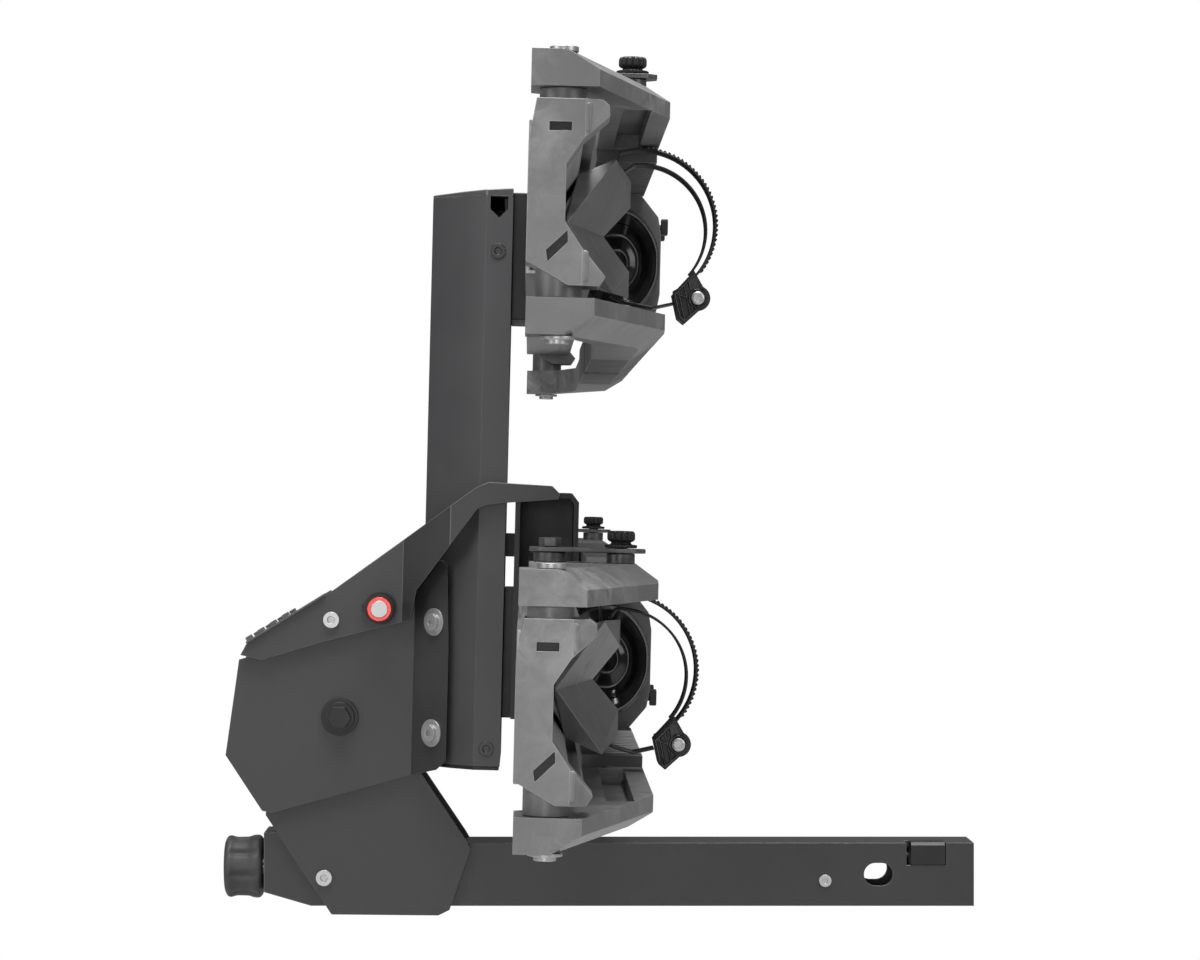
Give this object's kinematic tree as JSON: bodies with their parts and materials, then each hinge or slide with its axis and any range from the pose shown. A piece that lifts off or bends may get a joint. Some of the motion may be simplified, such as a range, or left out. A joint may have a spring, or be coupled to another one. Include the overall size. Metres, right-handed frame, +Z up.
{
  "type": "hitch bike rack",
  "caption": "Hitch-mounted tray bike rack in stowed position: square hitch bar, tilting mast with release lever, trays with folding wheel hoops, cradles and ratchet straps.",
  "frame": {"origin": "centre of the hitch pin hole, on the axis of the square hitch bar", "axes": "+X towards the vehicle along the hitch bar, +Y along the trays away from the side in the picture, +Z up"},
  "size_m": [0.606, 1.426, 0.6335],
  "materials": {
    "dark_coat": "satin powder coat",
    "mast_coat": "satin powder coat",
    "cast_grey": "satin, slightly mottled",
    "beam_grey": "satin",
    "rail_grey": "satin",
    "silver_steel": "satin",
    "dark_steel": "satin",
    "black_plastic": "matte",
    "black_rubber": "matte",
    "red_ring": "gloss"
  },
  "bodies": {
    "hitch": {"hitch_bar": "dark_coat", "end_housing": "black_plastic", "lower_brackets": "dark_coat", "bracket_bolt": "silver_steel", "bar_screw": "silver_steel", "pivot_bolt": "dark_steel", "pivot_spacer": "dark_coat"},
    "wobble": {"wobble_knob": "black_rubber", "knob_shaft": "silver_steel"},
    "draw": {"draw_rod": "silver_steel", "wedge": "black_plastic"},
    "mast": {"mast_tube": "mast_coat", "mast_top_cap": "mast_coat", "mast_bottom_cap": "black_plastic", "mast_screws": "dark_steel", "upper_brackets": "dark_coat", "flange_bolts": "silver_steel", "lever_bolt": "silver_steel", "tray_pads": "black_plastic", "tray_saddle": "dark_coat", "beam_lower": "beam_grey", "beam_upper": "beam_grey", "end_castings": "cast_grey", "pivot_tubes": "cast_grey", "tray_bolts": "silver_steel", "cradles": "cast_grey", "straps_lower": "black_plastic", "straps_upper": "black_plastic", "buckle_lower": "black_plastic", "buckle_upper": "black_plastic"},
    "lever": {"lever_plates": "mast_coat", "lever_tread": "dark_coat", "lock_collar": "black_plastic"},
    "lock": {"lock_pin": "silver_steel", "lock_ring": "red_ring"},
    "hoop_ln": {"arms_ln": "cast_grey", "bridge_ln": "rail_grey", "pad_ln": "black_rubber", "link_ln": "dark_steel"},
    "knob_ln": {"grip_ln": "black_plastic"},
    "hoop_lf": {"arms_lf": "cast_grey", "bridge_lf": "rail_grey", "pad_lf": "black_rubber", "link_lf": "dark_steel"},
    "knob_lf": {"grip_lf": "black_plastic"},
    "latch_lower_lever": {"latch_lower": "black_plastic"},
    "hoop_un": {"arms_un": "cast_grey", "bridge_un": "rail_grey", "pad_un": "black_rubber", "link_un": "dark_steel"},
    "knob_un": {"grip_un": "black_plastic"},
    "hoop_uf": {"arms_uf": "cast_grey", "bridge_uf": "rail_grey", "pad_uf": "black_rubber", "link_uf": "dark_steel"},
    "knob_uf": {"grip_uf": "black_plastic"},
    "latch_upper_lever": {"latch_upper": "black_plastic"}
  },
  "joints": [
    {"name": "mast_tilt", "type": "hinge", "parent": "hitch", "child": "mast", "pos_m": [-0.434, 0, 0.128], "axis": [0, -1, 0], "range_deg": [0, 120]},
    {"name": "knob_turn", "type": "hinge", "parent": "hitch", "child": "wobble", "pos_m": [-0.5, 0, 0.004], "axis": [1, 0, 0], "range_deg": [0, 540]},
    {"name": "wedge_slide", "type": "slide", "parent": "hitch", "child": "draw", "axis": [-1, 0, 0], "range_m": [0, 0.003]},
    {"name": "lever_release", "type": "hinge", "parent": "mast", "child": "lever", "pos_m": [-0.44039, 0, 0.20618], "axis": [0, -1, 0], "range_deg": [0, 6]},
    {"name": "lock_slide", "type": "slide", "parent": "lever", "child": "lock", "axis": [0, 1, 0], "range_m": [0, 0.0055]},
    {"name": "hoop_ln_swing", "type": "hinge", "parent": "mast", "child": "hoop_ln", "pos_m": [-0.27018, -0.693, 0.17591], "axis": [-0.0244, 0, -0.9997], "range_deg": [0, 110]},
    {"name": "knob_ln_turn", "type": "hinge", "parent": "hoop_ln", "child": "knob_ln", "pos_m": [-0.22279, -0.5, 0.17475], "axis": [0.0244, 0, 0.9997], "range_deg": [0, 1080]},
    {"name": "hoop_lf_swing", "type": "hinge", "parent": "mast", "child": "hoop_lf", "pos_m": [-0.27018, 0.693, 0.17591], "axis": [0.0244, 0, 0.9997], "range_deg": [0, 110]},
    {"name": "knob_lf_turn", "type": "hinge", "parent": "hoop_lf", "child": "knob_lf", "pos_m": [-0.22279, 0.5, 0.17475], "axis": [0.0244, 0, 0.9997], "range_deg": [0, 1080]},
    {"name": "latch_lower_turn", "type": "hinge", "parent": "mast", "child": "latch_lower_lever", "pos_m": [-0.17588, -0.345, 0.12989], "axis": [0, 1, 0], "range_deg": [0, 60]},
    {"name": "hoop_un_swing", "type": "hinge", "parent": "mast", "child": "hoop_un", "pos_m": [-0.26243, -0.693, 0.49312], "axis": [-0.0244, 0, -0.9997], "range_deg": [0, 110]},
    {"name": "knob_un_turn", "type": "hinge", "parent": "hoop_un", "child": "knob_un", "pos_m": [-0.21504, -0.5, 0.49196], "axis": [0.0244, 0, 0.9997], "range_deg": [0, 1080]},
    {"name": "hoop_uf_swing", "type": "hinge", "parent": "mast", "child": "hoop_uf", "pos_m": [-0.26243, 0.693, 0.49312], "axis": [0.0244, 0, 0.9997], "range_deg": [0, 110]},
    {"name": "knob_uf_turn", "type": "hinge", "parent": "hoop_uf", "child": "knob_uf", "pos_m": [-0.21504, 0.5, 0.49196], "axis": [0.0244, 0, 0.9997], "range_deg": [0, 1080]},
    {"name": "latch_upper_turn", "type": "hinge", "parent": "mast", "child": "latch_upper_lever", "pos_m": [-0.16213, -0.345, 0.44695], "axis": [0, 1, 0], "range_deg": [0, 60]}
  ],
  "couplings": [
    {"joint": "wedge_slide", "follows": "knob_turn", "m_per_rad": 0.000318}
  ]
}
